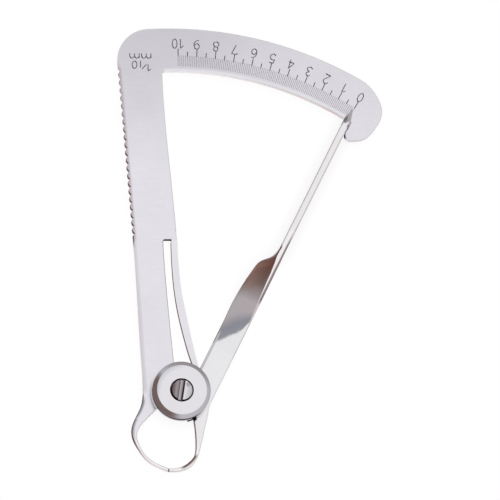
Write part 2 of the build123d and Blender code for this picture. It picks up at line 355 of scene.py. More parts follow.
plateFinish = {
    "face": shade(226, 224, 230),
    # edges that turn left are a little darker, a painted shade
    "edge": shade(224, 219, 222), "edgeLeft": shade(222, 215, 218),
    "wall": shade(206, 203, 207),
    "rough": 0.18, "roughSwing": 0.12,
    "streak": 0.1, "mottle": 0.12, "speckle": 0.05,
    "bump": 0.2, "brushAngle": 92.0,
    # the left-hand edges and walls, painted with shade: height in mm, and the colour there
    "leftShadeTones": [
        (-17, shade(226, 214, 217)), (-14.5, shade(206, 192, 195)), (-11.8, shade(118, 95, 98)),
        (-1.2, shade(100, 76, 80)), (-0.2, shade(212, 204, 207)), (34, shade(222, 215, 218)),
        (36, shade(128, 108, 112)), (60, shade(136, 114, 118)), (69, shade(188, 172, 176)),
        (76.5, shade(192, 178, 182)), (78, shade(218, 210, 214))],
    # painted shade: the far end of the face is darker, most of all at the left
    "top": shade(203, 201, 207),
    "topHeight": (48 * mm, 88 * mm), "topRight": (5 * mm, 30 * mm, 1.0, 0.4),
    # painted shade on the face along the leg's left edge, as a rounded edge would show, given as height and
    # place, more so at the teeth
    "legEdge": [(0.4 * mm, -8.4 * mm), (35.8 * mm, -10.62 * mm), (85 * mm, -14.41 * mm)],
    "wearAndShade": shade(206, 204, 211),
    "edgeShadeHeight": (-1 * mm, 1 * mm), "edgeShadeInset": (0.2 * mm, 0.9 * mm, 1.0, 0.0),
    "teethShade": shade(182, 174, 179), "teethHeight": (36 * mm, 77 * mm, 2 * mm),
    # and painted shade along a hollow neck and a round bow below it, each a centre and a radius
    "neckEdge": (Vector((-17.58, -0.32, 0)) * mm, 9.18 * mm),
    "bowEdge": (Vector((-5.52, -9.2, 0)) * mm, 5.59 * mm),
    "bowEnd": (-6.4 * mm, -5.4 * mm, 0.0, 20 * mm),        # only the neck counts above it
    "jawShade": shade(142, 146, 156),
    "jawShadeHeight": (-11.5 * mm, -1.6 * mm, 2 * mm), "jawShadeInset": (0.0, 0.5 * mm, 1.0, 0.0),
    # painted shade on the upper side of each of the first teeth and on the slot's upper end
    "toothTopShade": shade(84, 62, 66), "toothTurn": ((-0.6, 0.8, 0), 0.3, 0.55),
    "toothHeight": (66 * mm, 77 * mm, 4 * mm), "toothRight": (-8 * mm, -9 * mm),
    "slotTopShade": shade(112, 84, 84), "slotTurn": ((0, -1, 0), 0.4, 0.7),
    "slotHeight": (34 * mm, 38.5 * mm, 1 * mm), "slotRight": (-6 * mm, 1 * mm, 1 * mm),
    # a painted highlight on the lobe's edge beside the pointer, and a painted shadow in the corner where the
    # pointer leaves it
    "lobe": shade(240, 238, 242), "lobeRight": (30 * mm, 31 * mm),
    "lobeFootShadow": shade(70, 62, 66), "lobeShadowHeight": (60.8 * mm, 61.8 * mm, 0.4 * mm),
    # a lighter band on the face along the inner edge of the arc, and painted light on the wall under it from
    # left to right
    "band": shade(224, 224, 230),
    "bandOuter": (77.0 * mm, 76.6 * mm), "bandInner": (75.5 * mm, 76.0 * mm),
    "bandRight": (-3.4 * mm, -2.6 * mm), "bandAcross": (5.4 * mm, 5.2 * mm),
    "arcTones": [
        (-3, shade(246, 241, 243)), (12, shade(242, 234, 236)), (24, shade(230, 219, 221)),
        (36, shade(222, 208, 210))],
    # the flat faces of the jaws are lighter
    "jaw": shade(246, 244, 246), "jawHeight": (-8 * mm, -14 * mm),
}


def fromLegEdge(tree, right, height):
    # how far a point lies to the right of the leg's left edge
    places = plateFinish["legEdge"]
    edge = places[0][1]
    for (low, start), (high, end) in zip(places, places[1:]):
        edge = calc(tree, "ADD", edge, stretch(tree, height, low, high, 0.0, end - start))
    return minus(tree, right, edge)


def wearPlate(steel, right, height, colour):
    # the flat face, with painted shade: darker at its far end, along the leg's left edge, the neck and the
    # bow
    tree, flat, finish = steel.tree, steel.flat, plateFinish
    top = times(tree, fade(tree, height, *finish["topHeight"]),
                stretch(tree, right, *finish["topRight"]), flat)
    colour = mixColours(tree, top, colour, finish["top"])
    inset = stretch(tree, fromLegEdge(tree, right, height), *finish["edgeShadeInset"])
    leg = times(tree, inset, fade(tree, height, *finish["edgeShadeHeight"]), flat)
    colour = mixColours(tree, leg, colour, finish["wearAndShade"])
    teeth = times(tree, inset, between(tree, height, *finish["teethHeight"]), flat)
    colour = mixColours(tree, teeth, colour, finish["teethShade"])
    neck = minus(tree, fromPoint(steel, finish["neckEdge"][0]), finish["neckEdge"][1])
    bow = minus(tree, finish["bowEdge"][1], fromPoint(steel, finish["bowEdge"][0]))
    bow = calc(tree, "ADD", bow, stretch(tree, height, *finish["bowEnd"]))
    inset = stretch(tree, calc(tree, "MINIMUM", neck, bow), *finish["jawShadeInset"])
    jaw = times(tree, inset, flat, between(tree, height, *finish["jawShadeHeight"]))
    return mixColours(tree, jaw, colour, finish["jawShade"])


def makePlateSteel():
    finish = plateFinish
    steel = newSteel("plateSteel", finish)
    tree, flat = steel.tree, steel.flat
    steep = opposite(tree, flat)
    height = dot(tree, steel.spot, (0, 1, 0))
    right = dot(tree, steel.spot, (1, 0, 0))
    # painted shade on the face: its far end, its left edge, the neck and the bow
    pair = (wearPlate(steel, right, height, steel.pair[0]), steel.pair[1])
    # painted shade on the edges and walls that turn left
    leftShade = toneRamp(tree, height, finish["leftShadeTones"])
    pair = both(tree, times(tree, steep, steel.leftward), pair, leftShade)
    # painted shade on the upper sides of the first teeth and at the slot's upper end
    toothTopShade = times(tree, turnedTo(steel, *finish["toothTurn"]),
                     between(tree, height, *finish["toothHeight"]),
                     fade(tree, right, *finish["toothRight"]))
    slotTopShade = times(tree, turnedTo(steel, *finish["slotTurn"]),
                    between(tree, height, *finish["slotHeight"]),
                    between(tree, right, *finish["slotRight"]))
    # a painted highlight on the lobe's left edge, and a painted shadow at its foot
    lobe = times(tree, steep, fade(tree, right, *finish["lobeRight"]), steel.leftward)
    foot = times(tree, lobe, between(tree, height, *finish["lobeShadowHeight"]))
    for share, tone in ((toothTopShade, "toothTopShade"), (slotTopShade, "slotTopShade"), (lobe, "lobe"), (foot, "lobeFootShadow")):
        pair = both(tree, share, pair, finish[tone])
    # a lighter band along the arc's inner edge, with painted light on the wall under it
    radius = fromPoint(steel)
    band = times(tree, fade(tree, radius, *finish["bandOuter"]), fade(tree, radius, *finish["bandInner"]),
                 fade(tree, right, *finish["bandRight"]),
                 fade(tree, dot(tree, steel.spot, armAcross), *finish["bandAcross"]))
    colour, low = both(tree, times(tree, band, steep), pair, toneRamp(tree, right, finish["arcTones"]))
    colour = mixColours(tree, times(tree, band, flat), colour, finish["band"])
    # the jaws' flat faces are lighter
    jawLighter = times(tree, flat, fade(tree, height, *finish["jawHeight"]))
    colour = mixColours(tree, jawLighter, colour, finish["jaw"])
    # painted shade at the seam between the jaw tips
    colour = mixColours(tree, seamMask(tree, right, height, -1), colour, jawSeamShade["colour"])
    return paint(steel, colour, low)


armFinish = {
    "face": shade(232, 231, 233),
    # edges that turn left are darker, a painted shade
    "edge": shade(226, 218, 220), "edgeLeft": shade(208, 201, 205),
    "wall": shade(206, 201, 205),
    "rough": 0.15, "roughSwing": 0.1,
    "streak": 0.06, "mottle": 0.06, "speckle": 0.05,
    "bump": 0.15, "brushAngle": 116.55,
    # painted shade on the right-hand edge of the strip and of the blade above it, and a painted highlight on
    # it at its top beside the lobe
    "stripSide": shade(188, 164, 165), "stripSideAlong": (12 * mm, 16 * mm),
    "bladeSide": shade(220, 206, 209), "bladeSideAlong": (44 * mm, 50 * mm),
    "topSide": shade(244, 243, 246), "topSideAlong": (71.4 * mm, 71.8 * mm),
    # painted shade on the jaw's edges that turn left
    "jawEdgeShade": shade(146, 126, 126), "jawEdgeShadeHeight": (-2 * mm, -4 * mm),
    # painted reflection and shade on the twist's broad faces, darker and browner as they turn away: distance
    # up the arm in mm, and the colour there
    "twistTones": [
        (16.9, shade(229, 228, 230)), (17.9, shade(146, 146, 154)), (20.4, shade(138, 138, 146)),
        (24.0, shade(172, 166, 169)), (26.5, shade(174, 167, 169)), (29.0, shade(148, 136, 136)),
        (31.5, shade(116, 99, 93)), (33.5, shade(112, 91, 83)), (36.5, shade(110, 76, 67)),
        (40.0, shade(104, 70, 60)), (42.0, shade(112, 84, 76))],
    "twistShadeLow": shade(160, 160, 162), "twistShadeAlong": (13.6 * mm, 41.75 * mm, 1.2 * mm),
    # the first of them starts on a slant that bends up at the right, the others run straight
    "slant": 1.2, "slantMiddle": 4.4 * mm, "bendStart": 6.0 * mm, "bendGain": 3.0 / mm,
    "slantEnd": (27 * mm, 20 * mm), "waver": 1.2 * mm, "waverScale": 500.0,
    # a lighter, redder patch of painted reflection on the broad face
    "glow": shade(166, 130, 120),
    "glowAcross": (2.5 * mm, 5.5 * mm, 0.45, 0.0), "glowAlong": (30 * mm, 40 * mm, 4 * mm),
    # they lie on the broad faces; the limit between broad face and narrow edge turns with the strip
    "edgeLimit": (22 * mm, 38 * mm, 0.4, -0.3), "edgeSoft": (-0.08, 0.08),
    # a painted highlight on the narrow edge, with a strip of painted shade at its right that fades out
    "strip": shade(240, 238, 241), "stripAlong": (13 * mm, 46 * mm, 2 * mm),
    "stripLow": shade(208, 196, 200), "stripLowEnd": (26.5 * mm, 28.5 * mm),
    "stripRight": shade(150, 134, 136), "stripRightAcross": (6.65 * mm, 6.85 * mm),
    "stripEnd": shade(218, 215, 220), "stripEndAlong": (42 * mm, 46 * mm),
    # the jaw's flat faces are lighter, with painted shade on the inner edge where it bends in, round a
    # centre at a radius
    "jaw": shade(246, 244, 246), "jawHeight": (-11 * mm, -16 * mm),
    "hookShade": shade(108, 84, 79), "hookEdge": (Vector((-2.1, -11.84, 0)) * mm, 5.99 * mm),
    "hookInset": (0.35 * mm, 0.8 * mm, 1.0, 0.0), "hookInner": (-1.2 * mm, -1.0 * mm),
    "hookHeight": (-14.2 * mm, -15.2 * mm), "hookRight": (-0.4 * mm, 0.8 * mm),
    # painted shadow in the corner under the collar, where the jaw starts
    "corner": shade(30, 22, 24), "cornerRight": (0.6 * mm, 3.7 * mm, 0.3 * mm),
    "cornerHeight": (-5.1 * mm, -5.3 * mm), "cornerRadius": (7.55 * mm, 7.25 * mm),
    # painted shade on the face along the strip's left edge, as an eased edge would show, and on the tilted
    # faces of the nose
    "flank": shade(190, 186, 190), "flankAcross": (2.3 * mm, 1.9 * mm),
    "flankAlong": (5.5 * mm, 17 * mm, 2 * mm),
    "nose": shade(174, 168, 171), "noseAlong": (73.6 * mm, 74.0 * mm),
    "noseTurn": ((0, 0, 1), 0.985, 0.95),
}


def temperTone(tree, spot, along, across):
    # the painted reflection and shade of the twist, from the slanting first tone up
    finish = armFinish
    beyond = calc(tree, "MAXIMUM", minus(tree, across, finish["bendStart"]), 0.0)
    bend = times(tree, calc(tree, "POWER", beyond, 2.0), finish["bendGain"])
    slant = calc(tree, "MULTIPLY_ADD", minus(tree, across, finish["slantMiddle"]), finish["slant"], bend)
    slant = times(tree, slant, fade(tree, along, *finish["slantEnd"]))
    waver = times(tree, minus(tree, noise(tree, spot, finish["waverScale"]), 0.5), finish["waver"])
    tempered = calc(tree, "ADD", minus(tree, along, slant), waver)
    glow = times(tree, stretch(tree, across, *finish["glowAcross"]),
                 between(tree, along, *finish["glowAlong"]))
    return mixColours(tree, glow, toneRamp(tree, tempered, finish["twistTones"]), finish["glow"])


def stripTone(tree, along, across):
    # the narrow edge's painted highlight, with its strip of painted shade
    finish = armFinish
    upper = fade(tree, along, *finish["stripEndAlong"])
    band = mixColours(tree, upper, finish["stripRight"], finish["stripEnd"])
    strip = mixColours(tree, fade(tree, across, *finish["stripRightAcross"]), finish["strip"], band)
    return mixColours(tree, fade(tree, along, *finish["stripLowEnd"]), finish["stripLow"], strip)


def makeArmSteel():
    finish = armFinish
    steel = newSteel("armSteel", finish)
    tree, spot, flat, pair = steel.tree, steel.spot, steel.flat, steel.pair
    along, across = dot(tree, spot, armAlong), dot(tree, spot, armAcross)
    height, right = dot(tree, spot, (0, 1, 0)), dot(tree, spot, (1, 0, 0))
    steep = opposite(tree, flat)
    # the outlines: painted shade on the right-hand edges, a painted highlight at the top beside the lobe,
    # and painted shade on the jaw's edges that turn left
    rightward = times(tree, steep, opposite(tree, steel.leftward))
    for side in ("stripSide", "bladeSide", "topSide"):
        share = times(tree, rightward, fade(tree, along, *finish[side + "Along"]))
        pair = both(tree, share, pair, finish[side])
    jawEdgeShade = times(tree, steep, steel.leftward, fade(tree, height, *finish["jawEdgeShadeHeight"]))
    pair = both(tree, jawEdgeShade, pair, finish["jawEdgeShade"])
    # the twist: painted reflection and shade on its broad faces, and a painted highlight on its narrow edge
    limit = stretch(tree, along, *finish["edgeLimit"])
    edgeOn = fade(tree, minus(tree, dot(tree, steel.normal, armAcross), limit), *finish["edgeSoft"])
    twistShaded = times(tree, opposite(tree, edgeOn), between(tree, along, *finish["twistShadeAlong"]))
    pair = (mixColours(tree, twistShaded, pair[0], temperTone(tree, spot, along, across)),
            mixColours(tree, twistShaded, pair[1], finish["twistShadeLow"]))
    narrow = times(tree, edgeOn, between(tree, along, *finish["stripAlong"]))
    pair = both(tree, narrow, pair, stripTone(tree, along, across))
    # the jaw: lighter flat faces, painted shade on its inner edge, in the corner under the collar and along
    # the seam
    jawLighter = times(tree, flat, fade(tree, height, *finish["jawHeight"]))
    pair = (mixColours(tree, jawLighter, pair[0], finish["jaw"]), pair[1])
    inward = minus(tree, fromPoint(steel, finish["hookEdge"][0]), finish["hookEdge"][1])
    hookShade = times(tree, stretch(tree, inward, *finish["hookInset"]), fade(tree, inward, *finish["hookInner"]),
                 fade(tree, height, *finish["hookHeight"]), fade(tree, right, *finish["hookRight"]))
    pair = both(tree, hookShade, pair, finish["hookShade"])
    corner = times(tree, between(tree, right, *finish["cornerRight"]),
                   fade(tree, height, *finish["cornerHeight"]),
                   fade(tree, fromPoint(steel), *finish["cornerRadius"]))
    pair = both(tree, corner, pair, finish["corner"])
    pair = both(tree, seamMask(tree, right, height, 1), pair, jawSeamShade["colour"])
    # painted shade along the left edge of the strip, and on the nose
    flank = times(tree, flat, fade(tree, across, *finish["flankAcross"]),
                  between(tree, along, *finish["flankAlong"]))
    colour, low = both(tree, flank, pair, finish["flank"])
    nose = times(tree, fade(tree, along, *finish["noseAlong"]), turnedTo(steel, *finish["noseTurn"]))
    return paint(steel, mixColours(tree, nose, colour, finish["nose"]), low)


springFinish = {
    "face": shade(228, 226, 231),
    # edges that turn left are painted dark, a painted shade
    "edge": shade(214, 208, 212), "edgeLeft": shade(86, 64, 64),
    "wall": shade(204, 200, 204),
    "rough": 0.2, "roughSwing": 0.12,
    "streak": 0.08, "mottle": 0.08, "speckle": 0.06,
    "bump": 0.2, "brushAngle": 92.0,
}


def makeSpringSteel():
    steel = newSteel("springSteel", springFinish)
    return paint(steel, *steel.pair)


collarFinish = {
    "face": shade(227, 225, 229),
    # edges that turn left are painted brown, a painted shade
    "edge": shade(190, 188, 194), "edgeLeft": shade(116, 98, 96),
    "wall": shade(206, 203, 207),
    "rough": 0.18, "roughSwing": 0.12,
    "streak": 0.0, "mottle": 0.06, "speckle": 0.05,
    "bump": 0.15, "brushAngle": 0.0, "rings": 0.07,
    # painted shade on the bevel on the far side
    "upper": shade(160, 154, 158), "upperTurn": ((0.35, 0.94, 0), 0.2, 0.55),
    # painted shade on the wall at the left and the bottom, down to its foot, which is painted pale, a
    # painted light
    "wallTurn": ((0, 0, 1), 0.4, 0.2), "wallRadius": (6 * mm, 6.2 * mm),
    "outline": shade(66, 54, 55), "outlineTurn": ((-0.64, -0.77, 0), -0.1, 0.35),
    "foot": shade(236, 234, 238), "footDepth": (2.55 * mm, 2.65 * mm),
    # painted shade on the top at the upper left, next to the bevel
    "shade": shade(206, 207, 214), "shadeRadius": (4.6 * mm, 5.6 * mm, 0.0, 1.0),
    "shadeSide": (-0.8, 0.6, 0), "shadeReach": (2.0 * mm, 5.0 * mm),
    # a painted highlight on the broken edge of the screw hole
    "lip": shade(246, 244, 247), "lipRadius": (2.95 * mm, 2.85 * mm),
}
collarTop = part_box("front_boss")[1].z


def addRings(steel, strength):
    # lathe rings over the grain, in colour and in relief
    ring = useGroup(steel.tree, ringGroup, Vector=steel.spot, Strength=strength)
    feed(steel.tree, steel.bump.inputs["Height"], ring["Height"])
    steel.tone = times(steel.tree, steel.tone, ring["Tone"])


def makeCollarSteel():
    finish = collarFinish
    steel = newSteel("collarSteel", finish)
    addRings(steel, finish["rings"])
    tree, flat = steel.tree, steel.flat
    radius = fromPoint(steel)
    # painted shade on the far side of the bevel
    upper = times(tree, turnedTo(steel, *finish["upperTurn"]), opposite(tree, steel.leftward),
                  opposite(tree, flat))
    colour, low = both(tree, upper, steel.pair, finish["upper"])
    # painted shade on the wall at a low angle, with painted light at its foot
    wall = times(tree, turnedTo(steel, *finish["wallTurn"]), fade(tree, radius, *finish["wallRadius"]))
    outline = mixColours(tree, turnedTo(steel, *finish["outlineTurn"]), low, finish["outline"])
    depth = minus(tree, collarTop, dot(tree, steel.spot, (0, 0, 1)))
    outline = mixColours(tree, fade(tree, depth, *finish["footDepth"]), outline, finish["foot"])
    low = mixColours(tree, wall, low, outline)
    # painted shade on the top at the upper left
    beside = times(tree, flat, stretch(tree, radius, *finish["shadeRadius"]),
                   fade(tree, dot(tree, steel.spot, finish["shadeSide"]), *finish["shadeReach"]))
    colour = mixColours(tree, beside, colour, finish["shade"])
    # a painted highlight on the lip of the screw hole
    lip = fade(tree, radius, *finish["lipRadius"])
    return paint(steel, *both(tree, lip, (colour, low), finish["lip"]))


screwFinish = {
    "face": shade(190, 184, 188),
    # edges that turn left are painted dark, a painted shade
    "edge": shade(150, 142, 146), "edgeLeft": shade(90, 80, 82),
    "wall": shade(186, 180, 184),
    "rough": 0.14, "roughSwing": 0.1,
    "streak": 0.0, "mottle": 0.08, "speckle": 0.05,
    "bump": 0.15, "brushAngle": 0.0, "rings": 0.1,
    # painted reflection and shade: what the head and its slot mirror, from left to right over the slot, in
    # mm
    "slotTurn": -9.0, "headTurn": ((0, 0, 1), 0.6, 0.85),
    "headTones": [
        (-2.5, shade(98, 88, 92)), (-1.9, shade(112, 100, 104)), (-1.2, shade(158, 146, 148)),
        (-0.9, shade(132, 124, 129)), (-0.56, shade(88, 92, 102)), (-0.5, shade(204, 203, 208)),
        (-0.36, shade(200, 199, 204)), (-0.3, shade(164, 154, 161)), (0.08, shade(158, 148, 155)),
        (0.16, shade(72, 54, 54)), (0.48, shade(72, 54, 54)), (0.56, shade(224, 223, 227)),
        (1.2, shade(210, 208, 213)), (2.5, shade(180, 177, 182))],
    # a grey patch of painted reflection at the upper right
    "patch": shade(166, 164, 170), "patchMiddle": Vector((1.5, 1.3, 0)) * mm,
    "patchRadius": (0.8 * mm, 0.3 * mm), "patchAcross": (0.5 * mm, 0.7 * mm),
    # painted shade of the gap round the head, on its rim, a little wider at the lower left
    "ring": shade(50, 40, 42), "ringMiddle": Vector((0.09, 0.07, 0)) * mm,
    "ringRadius": (2.3 * mm, 2.42 * mm),
}


def makeScrewSteel():
    finish = screwFinish
    steel = newSteel("screwSteel", finish)
    addRings(steel, finish["rings"])
    tree = steel.tree
    # painted reflection and shade across the head and its slot
    turn = radians(finish["slotTurn"])
    across = dot(tree, steel.spot, (cos(turn), sin(turn), 0))
    patch = times(tree, fade(tree, fromPoint(steel, finish["patchMiddle"]), *finish["patchRadius"]),
                  fade(tree, across, *finish["patchAcross"]))
    tone = mixColours(tree, patch, toneRamp(tree, across, finish["headTones"]), finish["patch"])
    pair = both(tree, turnedTo(steel, *finish["headTurn"]), steel.pair, tone)
    # painted shade of the gap, on the head's rim
    ring = fade(tree, fromPoint(steel, finish["ringMiddle"]), *finish["ringRadius"])
    return paint(steel, *both(tree, ring, pair, finish["ring"]))


# painted shade in the engraved lines, with a painted highlight on one flank of each groove
numberFinish = {
    "deep": shade(58, 51, 55), "shallow": shade(98, 90, 94),
    "lit": shade(232, 230, 234), "litTurn": (0.7, -0.5, 0),
}
tickFinish = {
    "deep": shade(142, 136, 140), "shallow": shade(164, 159, 163),
    "lit": shade(234, 232, 237), "litTurn": (0.9, -0.3, 0),
}
engraving = {
    "wornScale": 900.0, "wornDetail": 3.0, "wearAndShade": (0.35, 0.65), "lit": (0.1, 0.35),
    "rough": 0.45, "roughSwing": 0.2,
}


def makeEngraving(name, finish):
    material, tree, shader = newMaterial(name)
    shader.inputs["Metallic"].default_value = 1.0
    place = addNode(tree, "ShaderNodeTexCoord").outputs
    # painted shade in the grooves, varied at random, and a painted highlight on one flank
    wearAndShade = noise(tree, place["Object"], engraving["wornScale"], engraving["wornDetail"])
    colour = mixColours(tree, fade(tree, wearAndShade, *engraving["wearAndShade"]), finish["deep"], finish["shallow"])
    lit = fade(tree, dot(tree, place["Normal"], finish["litTurn"]), *engraving["lit"])
    feed(tree, shader.inputs["Base Color"], mixColours(tree, lit, colour, finish["lit"]))
    rough = calc(tree, "MULTIPLY_ADD", wearAndShade, engraving["roughSwing"], engraving["rough"])
    feed(tree, shader.inputs["Roughness"], rough)
    return material


plateSteel = makePlateSteel()
armSteel = makeArmSteel()
springSteel = makeSpringSteel()
collarSteel = makeCollarSteel()
screwSteel = makeScrewSteel()
engravedTicks = makeEngraving("engravedTicks", tickFinish)
engravedNumbers = makeEngraving("engravedNumbers", numberFinish)
print("finishes built")


# Mesh helpers

def shadeByAngle(bm, limit):
    # smooth shading, with sharp edges at steep corners and round every cut
    for face in bm.faces:
        face.smooth = True
    for edge in bm.edges:
        sameFinish = len({face.material_index for face in edge.link_faces}) == 1
        edge.smooth = edge.is_manifold and sameFinish and edge.calc_face_angle(0) < radians(limit)


def newPiece(name, bm, material):
    mesh = bpy.data.meshes.new(name)
    bm.to_mesh(mesh)
    bm.free()
    mesh.materials.append(material)
    piece = bpy.data.objects.new(name, mesh)
    bpy.context.scene.collection.objects.link(piece)
    return piece


def settle(piece):
    # makes the modifiers' result the mesh
    bpy.context.view_layer.update()
    seen = piece.evaluated_get(bpy.context.evaluated_depsgraph_get())
    mesh = bpy.data.meshes.new_from_object(seen)
    piece.modifiers.clear()
    piece.data = mesh
    return piece


def evenShading(piece, limit=50, weight=100):
    # flat faces stay flat and the narrow bevels between them look round
    bm = bmesh.new()
    bm.from_mesh(piece.data)
    shadeByAngle(bm, limit)
    bm.to_mesh(piece.data)
    bm.free()
    weighted = piece.modifiers.new("evenShading", "WEIGHTED_NORMAL")
    weighted.keep_sharp = True
    weighted.weight = weight
    return settle(piece)


def cut(piece, cutter):
    boolean = piece.modifiers.new("cut", "BOOLEAN")
    boolean.object = cutter
    boolean.operation = "DIFFERENCE"
    boolean.solver = "EXACT"
    boolean.use_self = True
    boolean.material_mode = "TRANSFER"
    settle(piece)
    bpy.data.objects.remove(cutter)
    return piece


def weldedCopy(node, weld=0.0005 * mm, flatAngle=0.3):
    # a merged copy of a node's mesh, with its flat faces whole again
    bm = bmesh.new()
    bm.from_mesh(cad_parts[node].data)
    bmesh.ops.remove_doubles(bm, verts=bm.verts, dist=weld)
    bmesh.ops.dissolve_limit(bm, angle_limit=radians(flatAngle), verts=bm.verts, edges=bm.edges)
    return bm


def dress(piece, body, node):
    # shades a piece, gives it its body and hides the node that it stands for
    evenShading(piece)
    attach(piece, body)
    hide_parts(node)


# The plate and its engraved scale

scale = {
    "zeroAngle": 31.35, "tenAngle": 0.15,      # degrees right of straight up, at 0 and 10
    "zeroInset": 0.35 * mm,    # the marks come a little closer to the edge towards 0
    "parts": 100, "boldEvery": 5, "numberEvery": 10,
    "innerRadius": 77.4 * mm,
    "tenthEnd": 79.95 * mm, "halfEnd": 80.9 * mm, "wholeEnd": 81.55 * mm,
    "overlap": 0.2 * mm,       # how far a bold mark reaches into its fine one
    "fine": 0.12 * mm, "bold": 0.24 * mm, "loopSteps": 24, "curveSteps": 5, "weld": 0.0001 * mm,
    "numberRadius": 82.75 * mm, "numberWidth": 1.32 * mm, "numberHeight": 2.2 * mm,
    "numberStep": 1.35 * mm, "numberShift": 0.12 * mm,     # the shift is towards 10
}
# each glyph is a set of strokes in a square of side 1; a loop is a middle and two half widths
glyphs = {
    "0": [("loop", [(0.5, 0.5), (0.42, 0.5)])],
    "1": [("line", [(0.5, 0), (0.5, 1)]), ("line", [(0.5, 1), (-0.05, 0.72)])],
    "2": [("curve", [(0.02, 0.78), (0.45, 1), (0.92, 0.74), (0.55, 0.36), (0.02, 0)]),
          ("line", [(0.02, 0), (1, 0)])],
    "3": [("curve", [(0.05, 0.86), (0.45, 1), (0.85, 0.76), (0.4, 0.54)]),
          ("curve", [(0.4, 0.54), (0.95, 0.28), (0.45, 0), (0, 0.15)])],
    "4": [("line", [(0.72, 0), (0.72, 1)]), ("line", [(0.72, 1), (0, 0.3)]),
          ("line", [(0, 0.3), (1, 0.3)])],
    "5": [("line", [(0.92, 1), (0.18, 1)]), ("line", [(0.18, 1), (0.1, 0.56)]),
          ("curve", [(0.1, 0.56), (0.55, 0.64), (0.95, 0.32), (0.5, 0), (0.02, 0.12)])],
    "6": [("curve", [(0.85, 0.98), (0.3, 0.85), (0.02, 0.35), (0.5, 0), (0.95, 0.3), (0.5, 0.6),
                     (0.06, 0.34)])],
    "7": [("line", [(0.02, 0.84), (0.02, 1)]), ("line", [(0.02, 1), (1, 1)]), ("line", [(1, 1), (0.4, 0)])],
    "8": [("loop", [(0.5, 0.27), (0.47, 0.27)]), ("loop", [(0.5, 0.77), (0.38, 0.23)])],
    "9": [("curve", [(0.15, 0.02), (0.7, 0.15), (0.98, 0.65), (0.5, 1), (0.05, 0.7), (0.5, 0.4),
                     (0.94, 0.66)])],
    "m": [("line", [(0, 0), (0, 1)]), ("curve", [(0, 0.65), (0.28, 1), (0.5, 0.6)]),
          ("line", [(0.5, 0.6), (0.5, 0)]), ("curve", [(0.5, 0.65), (0.78, 1), (1, 0.6)]),
          ("line", [(1, 0.6), (1, 0)])],
    "/": [("line", [(0, 0), (1, 1)])],
    "|": [("line", [(0.5, 0), (0.5, 1)])],
}
signs = [
    # glyph, middle, width and height on the plate
    ("m", (-7.25 * mm, 79.75 * mm), 2.2 * mm, 1.15 * mm),
    ("m", (-10.0 * mm, 79.75 * mm), 2.2 * mm, 1.15 * mm),
    ("1", (-6.85 * mm, 76.95 * mm), 1.2 * mm, 1.6 * mm),
    ("/", (-7.75 * mm, 77.15 * mm), 1.05 * mm, 1.15 * mm),
    ("|", (-8.6 * mm, 77.75 * mm), 0.9 * mm, 1.6 * mm),
    ("0", (-10.0 * mm, 77.6 * mm), 1.3 * mm, 1.75 * mm),
]


def addStroke(curve, kind, points, width):
    # the way of the engraving tool: straight lines, a smooth curve or a closed loop
    spline = curve.splines.new("BEZIER" if kind == "curve" else "POLY")
    knots = spline.bezier_points if kind == "curve" else spline.points
    knots.add(len(points) - 1)
    for knot, (x, y) in zip(knots, points):
        knot.co = (x, y, plateHigh, 1)[:len(knot.co)]
        knot.radius = width / scale["bold"]
        if kind == "curve":
            knot.handle_left_type = knot.handle_right_type = "AUTO"
    spline.use_cyclic_u = kind == "loop"


def addGlyph(curve, glyph, middle, turn, width, height):
    place = Matrix.Translation(Vector(middle).to_3d()) @ Matrix.Rotation(turn, 4, "Z")
    for kind, points in glyphs[glyph]:
        if kind == "loop":
            (x, y), (wide, tall) = points
            turns = [2 * pi * step / scale["loopSteps"] for step in range(scale["loopSteps"])]
            points = [(x + wide * cos(angle), y + tall * sin(angle)) for angle in turns]
        spots = [place @ Vector(((x - 0.5) * width, (y - 0.5) * height, 0)) for x, y in points]
        addStroke(curve, kind, [spot.xy for spot in spots], scale["bold"])


def addTick(curve, turn, start, end, width):
    outward = Vector((sin(turn), cos(turn)))
    addStroke(curve, "line", [outward * start, outward * end], width)


def newStrokes():
    # a curve whose strokes have a square section on edge, which cuts V grooves
    curve = bpy.data.curves.new("strokes", "CURVE")
    curve.dimensions = "3D"
    curve.twist_mode = "Z_UP"
    curve.bevel_depth = scale["bold"] / 2
    curve.bevel_resolution = 0
    curve.resolution_u = scale["curveSteps"]
    curve.use_fill_caps = True
    return curve


def strokeCutter(curve, material):
    holder = bpy.data.objects.new("strokes", curve)
    bpy.context.scene.collection.objects.link(holder)
    bpy.context.view_layer.update()
    bm = bmesh.new()
    bm.from_mesh(bpy.data.meshes.new_from_object(holder))
    bpy.data.objects.remove(holder)
    bmesh.ops.remove_doubles(bm, verts=bm.verts, dist=scale["weld"])
    bmesh.ops.recalc_face_normals(bm, faces=bm.faces)
    return newPiece("strokeCutter", bm, material)


def addNumber(curve, number, turn, radius):
    digits = str(number)
    outward, onward = Vector((sin(turn), cos(turn))), Vector((-cos(turn), sin(turn)))
    for place, digit in enumerate(digits):
        step = (place - (len(digits) - 1) / 2) * scale["numberStep"] + scale["numberShift"]
        middle = outward * radius + onward * step
        addGlyph(curve, digit, middle, pi - turn, scale["numberWidth"], scale["numberHeight"])


